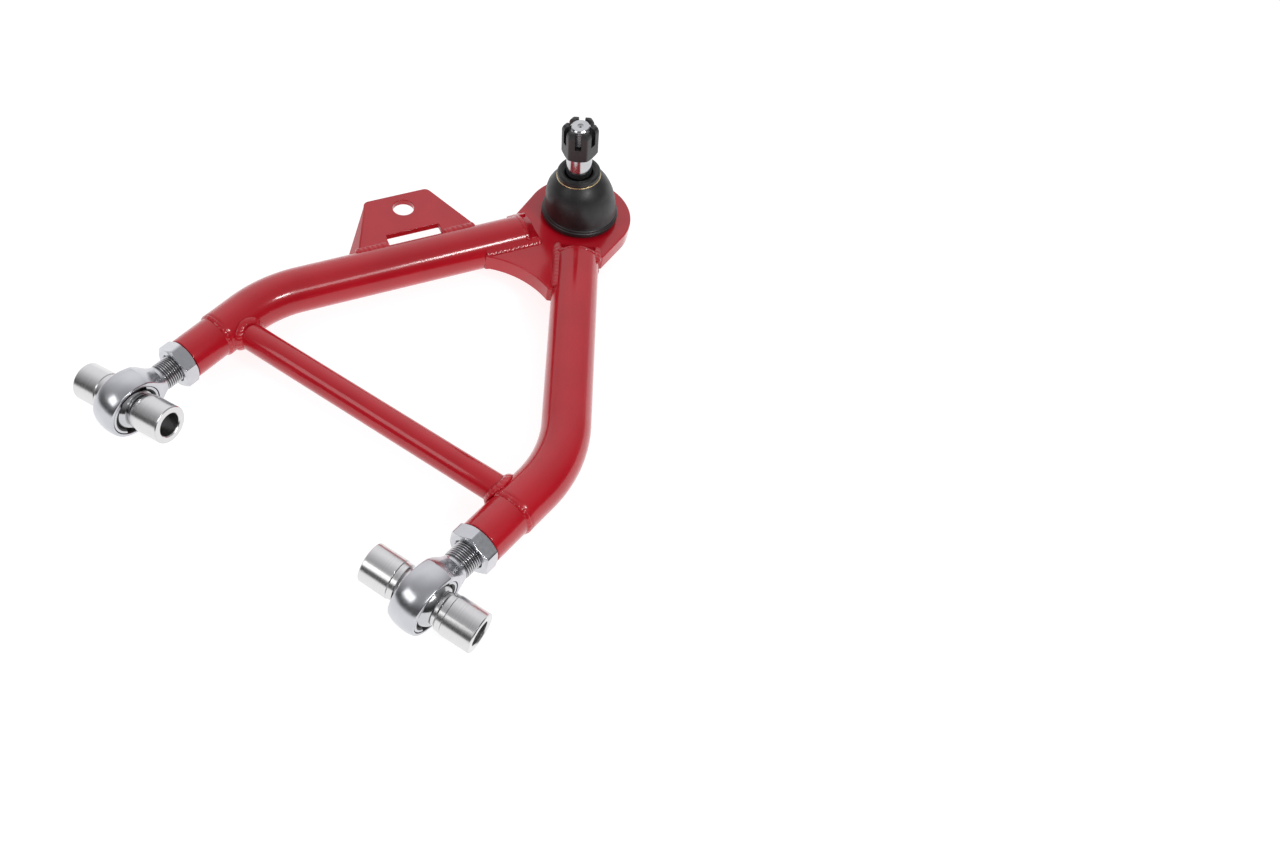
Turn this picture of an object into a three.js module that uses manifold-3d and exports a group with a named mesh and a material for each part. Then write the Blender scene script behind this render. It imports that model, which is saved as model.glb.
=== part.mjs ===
// Adjustable tubular lower control arm, left hand. Millimetres, +Z up.
// Modelling frame: X runs outboard from the pivot line to the ball joint, Y runs
// along the vehicle from pivot A to pivot B, and the floor that the arm lies on is
// Z = 0. The finished group is shifted so that its origin is the centre of its base.
import * as THREE from 'three';
import { mergeVertices } from 'three/addons/utils/BufferGeometryUtils.js';
import Module from 'manifold-3d';

const wasm = await Module();
wasm.setup();

// ---- driving dimensions -------------------------------------------------------
const GAP = 0.3; // room left between pieces that are welded, pressed or seated
const EXTRA = 1; // how far a cutting tool runs past what it cuts
const PLANE_Z = 22.225; // height of the plane through both tubes: head radius

// tubes
const TUBE_R = 15.875; // 1 1/4 in tube
const TUBE_WALL = 3.05;
const BEND_R = 88.9; // centreline radius of both bends
const BEND_STEPS = 7;
const TUBE_SIDES = 24;
const BRACE_R = 9.525; // 3/4 in tube
const BRACE_WALL = 2.1;
const BRACE_SIDES = 18;
const BRACE_FOOT = [85.6, -4]; // where the brace axis meets leg A
const BRACE_HEAD = [89.8, 214]; // where it meets leg B

// pivots: rod end centres, and the heading of each shank from +X towards +Y
const PIVOT_A = { x: 0, y: 0, heading: -7.4 };
const PIVOT_B = { x: 0, y: 233.8, heading: -6.8 };
// the straight outer part of each leg: the point where its axis ends, its heading
const LEG_A_END = { x: 279.8, y: 64.4, heading: 28.05 };
const LEG_B_END = { x: 277.4, y: 108.6, heading: -35.73 };

// threaded adapters in the leg ends
const ADAPTER_FACE = 49; // from the ball centre to the adapter's face
const ADAPTER_WELD = 77.5; // from the ball centre to the tube's end
const ADAPTER_TAIL = 98;
const ADAPTER_R = 14.7;
const ADAPTER_CHAMFER = 0.6;
const SPIGOT_R = TUBE_R - TUBE_WALL - GAP;
const TAPPED_R = 9.85;
const ADAPTER_SIDES = 24;

// rod ends, 3/4-16 thread
const THREAD_R = 9.525;
const RELIEF_R = 8.5;
const SHANK_END = 73;
const HEAD_R = 22.225;
const HEAD_HALF = 9.6;
const HEAD_BORE_R = 18.55;
const RACE_R = 18.25;
const RACE_HALF = 9.2;
const RACE_SEAT_R = 17.15;
const RACE_SEAT_HALF = 8.2;
const RACE_LIP_R = 16.4;
const SLOT_HALF = 10.6;
const SLOT_REACH = 7;
const SLOT_RADIAL = 3;
const SLOT_CENTRE = 17.5;
const BALL_R = 16.67;
const BALL_HALF = 11.1;
const BALL_BORE_R = 9.85;
const NECK_START = 12;
const NECK_END = 27;
const NECK_HALF = 9;
const NECK_START_R = 19;
const ROUND_SIDES = 24;

// misalignment spacers, 16 mm bore
const SPACER_R = 12.9;
const SPACER_BORE_R = 8;
const SPACER_SLEEVE_R = 9.5;
const SPACER_SHOULDER_R = 10.7;
const SPACER_END = 38.6;
const SPACER_EDGE = 0.5;

// jam nuts
const NUT_FLATS = 28.6;
const NUT_THICK = 10.6;

// attitude of each spacer pair, degrees: how far the bore's front end is raised
const TILT_A = 0;
const TILT_B = 9.5;

// ball joint plate
const PLATE_T = 12.7;
const EYE = { x: 316.6, y: 84.6 };
const EYE_R = 37.6;
const EYE_BORE_R = 22.3;
const WEB_ARC_R = 62;
const WEB_ARC_X = 184.1;
const WEB_ARC_Y = 90;

// ball joint: heights are above the floor on the upright stud axis
const PIVOT_Z = 17;
const STUD_BALL_R = 13;
const STUD_THREAD_R = 7.14; // 9/16-18
const STUD_TOP = 111.6;
const LEAN = 5.8; // degrees
const LEAN_HEADING = 126; // degrees from +X towards +Y
const CASTLE_FLATS = 22.2;
const CASTLE_SEAT_R = 9.35; // countersink that clears the stud's shoulder
const CASTLE_TURN = -7; // degrees about the stud
const CASTLE_BASE = 88.2;
const CASTLE_TOP = 111.4;
const SLOT_DEPTH = 12.6;
const SLOT_W = 4.4;
const COTTER_R = 1.9;
const COTTER_Z = 104.8;
const BOOT_FIXED_Z = 34; // the boot is upright below this
const BOOT_CARRIED_Z = 60; // and follows the stud above this
const WIRE_RING_R = 14.95;
const WIRE_RING_Z = 67.4;
const WIRE_R = 0.55;

// sway bar link bracket, in the frame of leg B: u along the leg, v outward from it
const BRACKET_ORIGIN = { x: 150, y: 200.3 };
const BRACKET_T = 4.76;
const BRACKET_TOP = 12; // above the plane of the tubes
const LINK_HOLE = { u: 81.1, v: 43.4, r: 7.75 };
const NOTCH = { u0: 60, u1: 100, v: 20.4 };
const FLANGE_SLOPE = 45;
const FLANGE_FLARE = 0.245; // flange depth gained per length of fold

// ---- materials ------------------------------------------------------------------
const paint = () => new THREE.MeshStandardMaterial({ color: 0xb5121f, roughness: 0.28, metalness: 0.1 });
const steel = () => new THREE.MeshStandardMaterial({ color: 0xb9bcc2, roughness: 0.22, metalness: 1 });
const zinc = () => new THREE.MeshStandardMaterial({ color: 0xc3c9d0, roughness: 0.3, metalness: 1 });
const alloy = () => new THREE.MeshStandardMaterial({ color: 0xd6d8da, roughness: 0.26, metalness: 1 });
const blackSteel = () => new THREE.MeshStandardMaterial({ color: 0x1b1b1d, roughness: 0.45, metalness: 0.6 });
const rubber = () => new THREE.MeshStandardMaterial({ color: 0x161618, roughness: 0.55, metalness: 0 });
const goldWire = () => new THREE.MeshStandardMaterial({ color: 0xc9a45a, roughness: 0.3, metalness: 1 });
const polymer = () => new THREE.MeshStandardMaterial({ color: 0xe4e0d2, roughness: 0.6, metalness: 0 });

// ---- geometry helpers -----------------------------------------------------------
const radians = THREE.MathUtils.degToRad;
const heading = (degrees) => new THREE.Vector2(Math.cos(radians(degrees)), Math.sin(radians(degrees)));

function solid(geometry) {
  const bare = geometry.clone();
  bare.deleteAttribute('normal');
  bare.deleteAttribute('uv');
  const merged = mergeVertices(bare, 1e-4);
  return new wasm.Manifold(new wasm.Mesh({
    numProp: 3,
    vertProperties: new Float32Array(merged.attributes.position.array),
    triVerts: new Uint32Array(merged.index.array),
  }));
}

function fromSolid(manifold) {
  const mesh = manifold.getMesh();
  const geometry = new THREE.BufferGeometry();
  geometry.setAttribute('position', new THREE.BufferAttribute(new Float32Array(mesh.vertProperties), 3));
  geometry.setIndex(new THREE.BufferAttribute(new Uint32Array(mesh.triVerts), 1));
  geometry.computeVertexNormals();
  return geometry;
}

const cut = (geometry, ...tools) => fromSolid(
  tools.reduce((left, tool) => left.subtract(solid(tool)), solid(geometry)),
);
const join = (...pieces) => fromSolid(pieces.map(solid).reduce((all, piece) => all.add(piece)));
const common = (a, b) => fromSolid(solid(a).intersect(solid(b)));

// A body turned about Y from an outline of [radius, height] pairs that closes on itself.
function turned(outline, sides = ROUND_SIDES) {
  let area = 0;
  outline.forEach(([r, y], i) => {
    const [rNext, yNext] = outline[(i + 1) % outline.length];
    area += r * yNext - rNext * y;
  });
  const ordered = area > 0 ? outline : [...outline].reverse();
  const onAxis = ordered.some(([r]) => r === 0);
  let points = ordered.map(([r, y]) => new THREE.Vector2(r, y));
  if (onAxis) {
    // start and finish on the axis, leaving the axis itself out of the outline
    const first = ordered.findIndex(([r], i) => r === 0 && ordered[(i + 1) % ordered.length][0] !== 0);
    points = [...points.slice(first), ...points.slice(0, first)];
  } else {
    points.push(points[0].clone());
  }
  return new THREE.LatheGeometry(points, sides);
}
const turnedAlongX = (outline, sides) => turned(outline, sides).rotateZ(-Math.PI / 2);
const turnedAlongZ = (outline, sides) => turned(outline, sides).rotateX(Math.PI / 2);

function prism(points, z0, z1, holes = []) {
  const shape = new THREE.Shape(points);
  holes.forEach((hole) => shape.holes.push(new THREE.Path(hole)));
  return new THREE.ExtrudeGeometry(shape, { depth: z1 - z0, bevelEnabled: false }).translate(0, 0, z0);
}

function circle(x, y, radius, sides) {
  return Array.from({ length: sides }, (_, i) => {
    const angle = (2 * Math.PI * i) / sides;
    return new THREE.Vector2(x + radius * Math.cos(angle), y + radius * Math.sin(angle));
  });
}

// Moves each edge of a counter-clockwise outline outwards by a distance.
function grown(points, distance) {
  return points.map((point, i) => {
    const before = points[(i + points.length - 1) % points.length];
    const after = points[(i + 1) % points.length];
    const a = point.clone().sub(before).normalize();
    const b = after.clone().sub(point).normalize();
    const miter = new THREE.Vector2(a.y + b.y, -a.x - b.x).normalize();
    const stretch = distance / Math.max(miter.dot(new THREE.Vector2(a.y, -a.x)), 0.4);
    return point.clone().addScaledVector(miter, stretch);
  });
}

function hexPrism(flats, y0, y1) {
  const corners = circle(0, 0, flats / Math.sqrt(3), 6);
  return prism(corners, y0, y1);
}

// ---- bent legs ------------------------------------------------------------------
// A straight, an arc and a straight, with its stations spent on the arc.
class BentPath extends THREE.Curve {
  constructor(start, startHeading, end, endHeading, radius) {
    super();
    const d1 = heading(startHeading);
    const d2 = heading(endHeading);
    const span = new THREE.Vector2(end.x - start.x, end.y - start.y);
    const corner = start.clone().addScaledVector(d1, span.cross(d2) / d1.cross(d2));
    const turn = radians(endHeading - startHeading);
    const tangent = radius * Math.tan(Math.abs(turn) / 2);
    this.begin = start.clone();
    this.finish = end.clone();
    this.arcStart = corner.clone().addScaledVector(d1, -tangent);
    this.arcEnd = corner.clone().addScaledVector(d2, tangent);
    this.side = Math.sign(turn);
    this.centre = this.arcStart.clone().add(new THREE.Vector2(-d1.y, d1.x).multiplyScalar(radius * this.side));
    this.turn = turn;
    this.stations = BEND_STEPS + 2;
    this.heading0 = radians(startHeading);
    this.radius = radius;
  }

  place(u) {
    const k = u * this.stations;
    if (k <= 1) return { at: this.begin.clone().lerp(this.arcStart, k), angle: this.heading0 };
    if (k >= this.stations - 1) {
      return { at: this.arcEnd.clone().lerp(this.finish, k - this.stations + 1), angle: this.heading0 + this.turn };
    }
    const angle = this.heading0 + (this.turn * (k - 1)) / BEND_STEPS;
    const outward = new THREE.Vector2(Math.sin(angle), -Math.cos(angle)).multiplyScalar(this.radius * this.side);
    return { at: this.centre.clone().add(outward), angle };
  }

  getPoint(u) {
    const { at } = this.place(u);
    return new THREE.Vector3(at.x, at.y, PLANE_Z);
  }

  getPointAt(u) {
    return this.getPoint(u);
  }

  getSpacedPoints(divisions) {
    return Array.from({ length: divisions + 1 }, (_, i) => this.getPoint(i / divisions));
  }

  getTangentAt(u) {
    const { angle } = this.place(u);
    return new THREE.Vector3(Math.cos(angle), Math.sin(angle), 0);
  }
}

function legTube(pivot, end) {
  const d = heading(pivot.heading);
  const start = new THREE.Vector2(pivot.x, pivot.y).addScaledVector(d, ADAPTER_WELD + GAP);
  const path = new BentPath(start, pivot.heading, new THREE.Vector2(end.x, end.y), end.heading, BEND_R);
  const section = new THREE.Shape(circle(0, 0, TUBE_R, TUBE_SIDES));
  section.holes.push(new THREE.Path(circle(0, 0, TUBE_R - TUBE_WALL, TUBE_SIDES)));
  return new THREE.ExtrudeGeometry(section, { steps: path.stations, extrudePath: path, bevelEnabled: false });
}

// ---- ball joint plate -------------------------------------------------------------
const PLATE_OUTLINE = (() => {
  const points = [];
  const eyeSteps = 20;
  for (let i = 0; i <= eyeSteps; i += 1) {
    const angle = -Math.PI / 2 + (Math.PI * i) / eyeSteps;
    points.push(new THREE.Vector2(EYE.x + EYE_R * Math.cos(angle), EYE.y + EYE_R * Math.sin(angle)));
  }
  points.push(new THREE.Vector2(287, 121.5)); // meets the outer side of leg B
  points.push(new THREE.Vector2(278.6, 122.3)); // inside leg B
  points.push(new THREE.Vector2(256.4, 138.2));
  const webSteps = 8;
  const webHalf = Math.asin(26 / WEB_ARC_R);
  for (let i = 0; i <= webSteps; i += 1) {
    const angle = webHalf - (2 * webHalf * i) / webSteps;
    points.push(new THREE.Vector2(WEB_ARC_X + WEB_ARC_R * Math.cos(angle), WEB_ARC_Y + WEB_ARC_R * Math.sin(angle)));
  }
  points.push(new THREE.Vector2(253, 38.9)); // inside leg A
  points.push(new THREE.Vector2(284.9, 55.6));
  points.push(new THREE.Vector2(289, 48.6)); // meets the outer side of leg A
  return points;
})();

function plateGeometry() {
  const bore = circle(EYE.x, EYE.y, EYE_BORE_R, 32);
  return prism(PLATE_OUTLINE, PLANE_Z - PLATE_T / 2, PLANE_Z + PLATE_T / 2, [bore]);
}

function plateCutter() {
  const half = PLATE_T / 2 + GAP;
  return prism(grown(PLATE_OUTLINE, GAP), PLANE_Z - half, PLANE_Z + half);
}

// ---- brace ------------------------------------------------------------------------
function rodBetween(a, b, radius, sides, z) {
  const length = Math.hypot(b[0] - a[0], b[1] - a[1]);
  const angle = Math.atan2(b[1] - a[1], b[0] - a[0]);
  return new THREE.CylinderGeometry(radius, radius, length, sides)
    .rotateZ(angle - Math.PI / 2)
    .translate((a[0] + b[0]) / 2, (a[1] + b[1]) / 2, z);
}

function straightCutter(pivot, radius) {
  const d = heading(pivot.heading);
  const at = (s) => [pivot.x + d.x * s, pivot.y + d.y * s];
  return rodBetween(at(55), at(112), radius, 40, PLANE_Z);
}

function braceGeometry() {
  const dx = (BRACE_HEAD[0] - BRACE_FOOT[0]) * 0.05;
  const dy = (BRACE_HEAD[1] - BRACE_FOOT[1]) * 0.05;
  const outer = rodBetween(BRACE_FOOT, BRACE_HEAD, BRACE_R, BRACE_SIDES, PLANE_Z);
  const bore = rodBetween(
    [BRACE_FOOT[0] - dx, BRACE_FOOT[1] - dy],
    [BRACE_HEAD[0] + dx, BRACE_HEAD[1] + dy],
    BRACE_R - BRACE_WALL,
    BRACE_SIDES,
    PLANE_Z,
  );
  return cut(outer, bore, straightCutter(PIVOT_A, TUBE_R + GAP), straightCutter(PIVOT_B, TUBE_R + GAP));
}

// ---- sway bar link bracket -----------------------------------------------------------
function bracketPlate() {
  const outline = new THREE.Shape();
  outline.moveTo(34, 6);
  outline.lineTo(126.8, 6);
  outline.lineTo(106.2, 52.6);
  outline.quadraticCurveTo(104, 57.5, 99, 57.5);
  outline.lineTo(60.5, 57.5);
  outline.quadraticCurveTo(55.5, 57.5, 53.4, 52.4);
  outline.closePath();
  const hole = circle(LINK_HOLE.u, LINK_HOLE.v, LINK_HOLE.r, 32);
  outline.holes.push(new THREE.Path(hole));
  return new THREE.ExtrudeGeometry(outline, { depth: BRACKET_T, bevelEnabled: false, curveSegments: 5 })
    .translate(0, 0, BRACKET_TOP - BRACKET_T);
}

function bracketFlange() {
  // a triangle that hangs from the plate's inboard edge, deeper towards the leg
  const foldLength = 47;
  const lap = 2.4;
  const triangle = [
    new THREE.Vector2(-6, lap),
    new THREE.Vector2(-6, 0),
    new THREE.Vector2(foldLength, -FLANGE_FLARE * foldLength),
    new THREE.Vector2(foldLength, lap),
  ];
  const flange = prism(triangle, -BRACKET_T, 0);
  const foldStart = new THREE.Vector3(51.6, 48, BRACKET_TOP);
  const fold = new THREE.Vector3(34 - 51.6, 6 - 48, 0).normalize();
  const across = new THREE.Vector3(-fold.y, fold.x, 0).multiplyScalar(-1);
  const slope = radians(FLANGE_SLOPE);
  const down = across.clone().multiplyScalar(Math.cos(slope)).add(new THREE.Vector3(0, 0, -Math.sin(slope)));
  const up = down.clone().negate();
  const face = new THREE.Vector3().crossVectors(fold, up);
  const basis = new THREE.Matrix4().makeBasis(fold, up, face).setPosition(foldStart);
  return flange.applyMatrix4(basis);
}

function bracketGeometry() {
  const notch = new THREE.BoxGeometry(NOTCH.u1 - NOTCH.u0, NOTCH.v, 4 * BRACKET_T)
    .translate((NOTCH.u0 + NOTCH.u1) / 2, NOTCH.v / 2, BRACKET_TOP);
  const leg = new THREE.CylinderGeometry(TUBE_R + GAP, TUBE_R + GAP, 180, 48).rotateZ(Math.PI / 2).translate(80, 0, 0);
  const below = new THREE.BoxGeometry(200, 24, 60).translate(80, -12, 0);
  const bracket = cut(join(bracketPlate(), bracketFlange()), notch, leg, below);
  return bracket
    .rotateZ(radians(LEG_B_END.heading))
    .translate(BRACKET_ORIGIN.x, BRACKET_ORIGIN.y, PLANE_Z);
}

// ---- rod end pieces, about the ball centre: shank along +X, bore along Y -----------------
function rodEndBody() {
  const head = turned([
    [HEAD_BORE_R, -HEAD_HALF], [19.6, -HEAD_HALF], [21, -8.6], [22, -6.6], [HEAD_R, -4],
    [HEAD_R, 4], [22, 6.6], [21, 8.6], [19.6, HEAD_HALF], [HEAD_BORE_R, HEAD_HALF],
  ], 28);
  const cone = turnedAlongX([
    [0, NECK_START], [NECK_START_R, NECK_START], [9.4, 24.6], [8.9, NECK_END], [0, NECK_END],
  ], 20);
  const slab = new THREE.BoxGeometry(40, 2 * NECK_HALF, 60).translate(20, 0, 0);
  const bore = new THREE.CylinderGeometry(HEAD_BORE_R, HEAD_BORE_R, 3 * HEAD_HALF, 28);
  const neck = cut(common(cone, slab), bore);
  const shank = turnedAlongX([
    [0, NECK_END - 3], [RELIEF_R, NECK_END - 3], [RELIEF_R, NECK_END + 0.5], [THREAD_R, NECK_END + 1.5],
    [THREAD_R, SHANK_END - 1.5], [THREAD_R - 1.5, SHANK_END], [0, SHANK_END],
  ], 20);
  return join(head, neck, shank);
}

function raceGeometry() {
  const outline = [];
  const steps = 5;
  const lip = Math.asin(RACE_SEAT_HALF / RACE_SEAT_R);
  for (let i = 0; i <= steps; i += 1) {
    const angle = -lip + (2 * lip * i) / steps;
    outline.push([RACE_SEAT_R * Math.cos(angle), RACE_SEAT_R * Math.sin(angle)]);
  }
  outline.push(
    [RACE_LIP_R, RACE_HALF], [RACE_R - 0.5, RACE_HALF], [RACE_R, RACE_HALF - 0.5],
    [RACE_R, 0.5 - RACE_HALF], [RACE_R - 0.5, -RACE_HALF], [RACE_LIP_R, -RACE_HALF],
  );
  // two opposite loading slots in the front half, where the ball is passed in sideways
  const slot = (sign) => new THREE.BoxGeometry(2 * SLOT_HALF, 2 * SLOT_REACH, 2 * SLOT_RADIAL)
    .translate(0, -RACE_HALF, sign * SLOT_CENTRE);
  return cut(turned(outline), slot(1), slot(-1));
}

function ballGeometry() {
  const outline = [[BALL_BORE_R, -BALL_HALF]];
  const steps = 6;
  const edge = Math.asin(BALL_HALF / BALL_R);
  for (let i = 0; i <= steps; i += 1) {
    const angle = -edge + (2 * edge * i) / steps;
    outline.push([BALL_R * Math.cos(angle), BALL_R * Math.sin(angle)]);
  }
  outline.push([BALL_BORE_R, BALL_HALF]);
  return turned(outline);
}

function spacerGeometry(side) {
  const outline = [
    [SPACER_BORE_R, 0.4], [SPACER_SLEEVE_R, 0.4], [SPACER_SLEEVE_R, BALL_HALF + GAP],
    [SPACER_SHOULDER_R, BALL_HALF + GAP], [SPACER_SHOULDER_R, 14.4], [SPACER_R - 0.5, 16.4], [SPACER_R, 17],
    [SPACER_R, SPACER_END - SPACER_EDGE], [SPACER_R - SPACER_EDGE, SPACER_END],
    [SPACER_BORE_R + SPACER_EDGE, SPACER_END], [SPACER_BORE_R, SPACER_END - SPACER_EDGE],
  ];
  return turned(outline.map(([r, y]) => [r, side * y]));
}

function chamferedNut(flats, height, boreR, chamfer, topRound, seatR) {
  const corner = flats / Math.sqrt(3);
  const flat = flats / 2;
  const blank = turnedAlongZ([
    [0, 0], [flat - 0.3, 0], [corner + 0.1, chamfer], [corner + 0.1, height - topRound], [flat - 0.3, height], [0, height],
  ], 24);
  const bore = turnedAlongZ([
    [0, -EXTRA], [seatR, -EXTRA], [seatR, 0], [boreR, 0.8], [boreR, height - 0.8], [boreR + 0.8, height],
    [boreR + 0.8, height + EXTRA], [0, height + EXTRA],
  ], 24);
  return cut(common(hexPrism(flats, 0, height), blank), bore);
}

function jamNutGeometry() {
  return chamferedNut(NUT_FLATS, NUT_THICK, TAPPED_R, 1.5, 1.5, TAPPED_R + 0.8)
    .rotateY(Math.PI / 2)
    .translate(ADAPTER_FACE - GAP - NUT_THICK, 0, 0);
}

function adapterGeometry() {
  return turnedAlongX([
    [TAPPED_R + 0.8, ADAPTER_FACE], [ADAPTER_R - ADAPTER_CHAMFER, ADAPTER_FACE],
    [ADAPTER_R, ADAPTER_FACE + ADAPTER_CHAMFER], [ADAPTER_R, ADAPTER_WELD], [SPIGOT_R, ADAPTER_WELD],
    [SPIGOT_R, ADAPTER_TAIL], [TAPPED_R, ADAPTER_TAIL], [TAPPED_R, ADAPTER_FACE + 0.8],
  ], ADAPTER_SIDES);
}

// ---- ball joint pieces, about the housing axis, heights above the floor ------------------
const sphereArc = (radius, centre, from, to, steps) => Array.from({ length: steps + 1 }, (_, i) => {
  const angle = radians(from + ((to - from) * i) / steps);
  return [radius * Math.cos(angle), centre + radius * Math.sin(angle)];
});

function housingGeometry() {
  const plateTop = PLANE_Z + PLATE_T / 2;
  return turnedAlongZ([
    [15.2, 0], [20.4, 0], [21.4, 1.2], [21.4, PLANE_Z - PLATE_T / 2 - 1], [EYE_BORE_R - GAP, PLANE_Z - PLATE_T / 2 - 0.4],
    [EYE_BORE_R - GAP, plateTop + GAP], [24.6, plateTop + GAP], [24.6, plateTop + 1.6], [21.2, plateTop + 1.6],
    [20.6, plateTop + 5.2], [15.2, plateTop + 5.2], [14.3, plateTop + 3], [14.3, plateTop - 0.2], [16.8, plateTop - 2.2],
    [16.8, 4.4], [17.9, 4.1], [17.9, 1], [15.2, 0.9],
  ], 24);
}

function bearingGeometry() {
  return turnedAlongZ([
    ...sphereArc(STUD_BALL_R + 0.45, PIVOT_Z, -62, 27, 6),
    [12.8, 26], [16.5, 26], [16.5, 4.8], [6.4, 4.8],
  ], 24);
}

function coverGeometry() {
  return turnedAlongZ([[0, 1.3], [17.5, 1.3], [17.5, 3.4], [9, 3.4], [7, 3.9], [0, 3.9]], 20);
}

function studGeometry() {
  const stud = turnedAlongZ([
    [0, 6], ...sphereArc(STUD_BALL_R, PIVOT_Z, -54, 50, 6),
    [7.9, 29.4], [7.9, 36], [9.2, 52], [9.2, 68], [8.7, 86.6], [STUD_THREAD_R, 87.6],
    [STUD_THREAD_R, STUD_TOP - 1.2], [STUD_THREAD_R - 1.2, STUD_TOP], [2.4, STUD_TOP], [0, STUD_TOP - 1.8],
  ], 20);
  const cotter = new THREE.CylinderGeometry(COTTER_R, COTTER_R, 30, 12).translate(0, 0, COTTER_Z);
  return cut(stud, cotter);
}

function castleNutGeometry() {
  const height = CASTLE_TOP - CASTLE_BASE;
  const nut = chamferedNut(CASTLE_FLATS, height, STUD_THREAD_R + GAP, 2.2, 3.2, CASTLE_SEAT_R);
  const slot = (turn) => new THREE.BoxGeometry(60, SLOT_W, SLOT_DEPTH + EXTRA)
    .translate(0, 0, height - SLOT_DEPTH / 2 + EXTRA / 2)
    .rotateZ(radians(turn));
  return cut(nut, slot(30), slot(90), slot(150))
    .rotateZ(radians(CASTLE_TURN))
    .translate(0, 0, CASTLE_BASE);
}

const BOOT_OUTSIDE = [
  [26.4, 30.6], [27.3, 31.4], [27.3, 33.8], [26.4, 35.4], [25.4, 38], [24.9, 44], [24, 50.4],
  [21.8, 57.4], [18.6, 62.4], [14.1, 66.4], [14.1, 68.2], [15.1, 69], [14.4, 71.2],
];
const BOOT_INSIDE = [
  [12, 71.2], [9.8, 70], [9.8, 67.4], [16.2, 61], [19.8, 55.6], [22, 49.4], [22.4, 38], [22.4, 30.6],
];

function leanMatrix() {
  const lean = heading(LEAN_HEADING);
  const axis = new THREE.Vector3(-lean.y, lean.x, 0);
  return new THREE.Matrix4().makeTranslation(0, 0, PIVOT_Z)
    .multiply(new THREE.Matrix4().makeRotationAxis(axis, radians(LEAN)))
    .multiply(new THREE.Matrix4().makeTranslation(0, 0, -PIVOT_Z));
}

function bootGeometry() {
  const geometry = turnedAlongZ([...BOOT_OUTSIDE, ...BOOT_INSIDE], 26);
  const matrix = leanMatrix();
  const position = geometry.attributes.position;
  const point = new THREE.Vector3();
  for (let i = 0; i < position.count; i += 1) {
    point.fromBufferAttribute(position, i);
    const share = THREE.MathUtils.smoothstep(point.z, BOOT_FIXED_Z, BOOT_CARRIED_Z);
    const carried = point.clone().applyMatrix4(matrix);
    point.lerp(carried, share);
    position.setXYZ(i, point.x, point.y, point.z);
  }
  return geometry;
}

function bootWireGeometry() {
  return new THREE.TorusGeometry(WIRE_RING_R, WIRE_R, 6, 28).translate(0, 0, WIRE_RING_Z);
}

// ---- assembly ---------------------------------------------------------------------------
const arm = new THREE.Group();

function add(parent, name, geometry, material) {
  const mesh = new THREE.Mesh(geometry, material);
  mesh.name = name;
  parent.add(mesh);
  return mesh;
}

function addRodEnd(letter, pivot, tilt) {
  const place = new THREE.Group();
  place.position.set(pivot.x, pivot.y, PLANE_Z);
  const shank = new THREE.Group();
  shank.rotation.z = radians(pivot.heading);
  const swivel = new THREE.Group();
  swivel.rotation.x = radians(-tilt);
  place.add(shank, swivel);
  arm.add(place);
  add(shank, `rod_end_${letter}_body`, rodEndBody(), steel());
  add(shank, `rod_end_${letter}_race`, raceGeometry(), steel());
  add(shank, `jam_nut_${letter}`, jamNutGeometry(), zinc());
  add(shank, `adapter_${letter}`, adapterGeometry(), paint());
  add(swivel, `swivel_ball_${letter}`, ballGeometry(), steel());
  add(swivel, `spacer_${letter}_front`, spacerGeometry(-1), alloy());
  add(swivel, `spacer_${letter}_rear`, spacerGeometry(1), alloy());
}

addRodEnd('a', PIVOT_A, TILT_A);
addRodEnd('b', PIVOT_B, TILT_B);

add(arm, 'leg_tube_a', cut(legTube(PIVOT_A, LEG_A_END), plateCutter()), paint());
add(arm, 'leg_tube_b', cut(legTube(PIVOT_B, LEG_B_END), plateCutter()), paint());
add(arm, 'cross_brace', braceGeometry(), paint());
add(arm, 'ball_joint_plate', plateGeometry(), paint());
add(arm, 'link_bracket', bracketGeometry(), paint());

const ballJoint = new THREE.Group();
ballJoint.position.set(EYE.x, EYE.y, 0);
arm.add(ballJoint);
add(ballJoint, 'ball_joint_housing', housingGeometry(), blackSteel());
add(ballJoint, 'ball_joint_bearing', bearingGeometry(), polymer());
add(ballJoint, 'ball_joint_cover', coverGeometry(), blackSteel());
add(ballJoint, 'ball_joint_boot', bootGeometry(), rubber());

const leaning = new THREE.Group();
leaning.applyMatrix4(leanMatrix());
ballJoint.add(leaning);
add(leaning, 'ball_stud', studGeometry(), steel());
add(leaning, 'castle_nut', castleNutGeometry(), blackSteel());
add(leaning, 'boot_wire_ring', bootWireGeometry(), goldWire());

// ---- origin at the centre of the base ------------------------------------------------------
const bounds = new THREE.Box3().setFromObject(arm, true);
const middle = bounds.getCenter(new THREE.Vector3());
arm.position.set(-middle.x, -middle.y, -bounds.min.z);

const group = new THREE.Group();
group.add(arm);
group.updateMatrixWorld(true);

export default group;
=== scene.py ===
"""Looks of an adjustable tubular control arm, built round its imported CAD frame.

The object's lengths are in millimetres, and are scaled to metres when a piece is made. The studio's
lengths and the scales in the materials are in metres.
"""

import math
import random

import bmesh
import bpy
import numpy as np
from mathutils import Matrix, Vector


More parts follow.
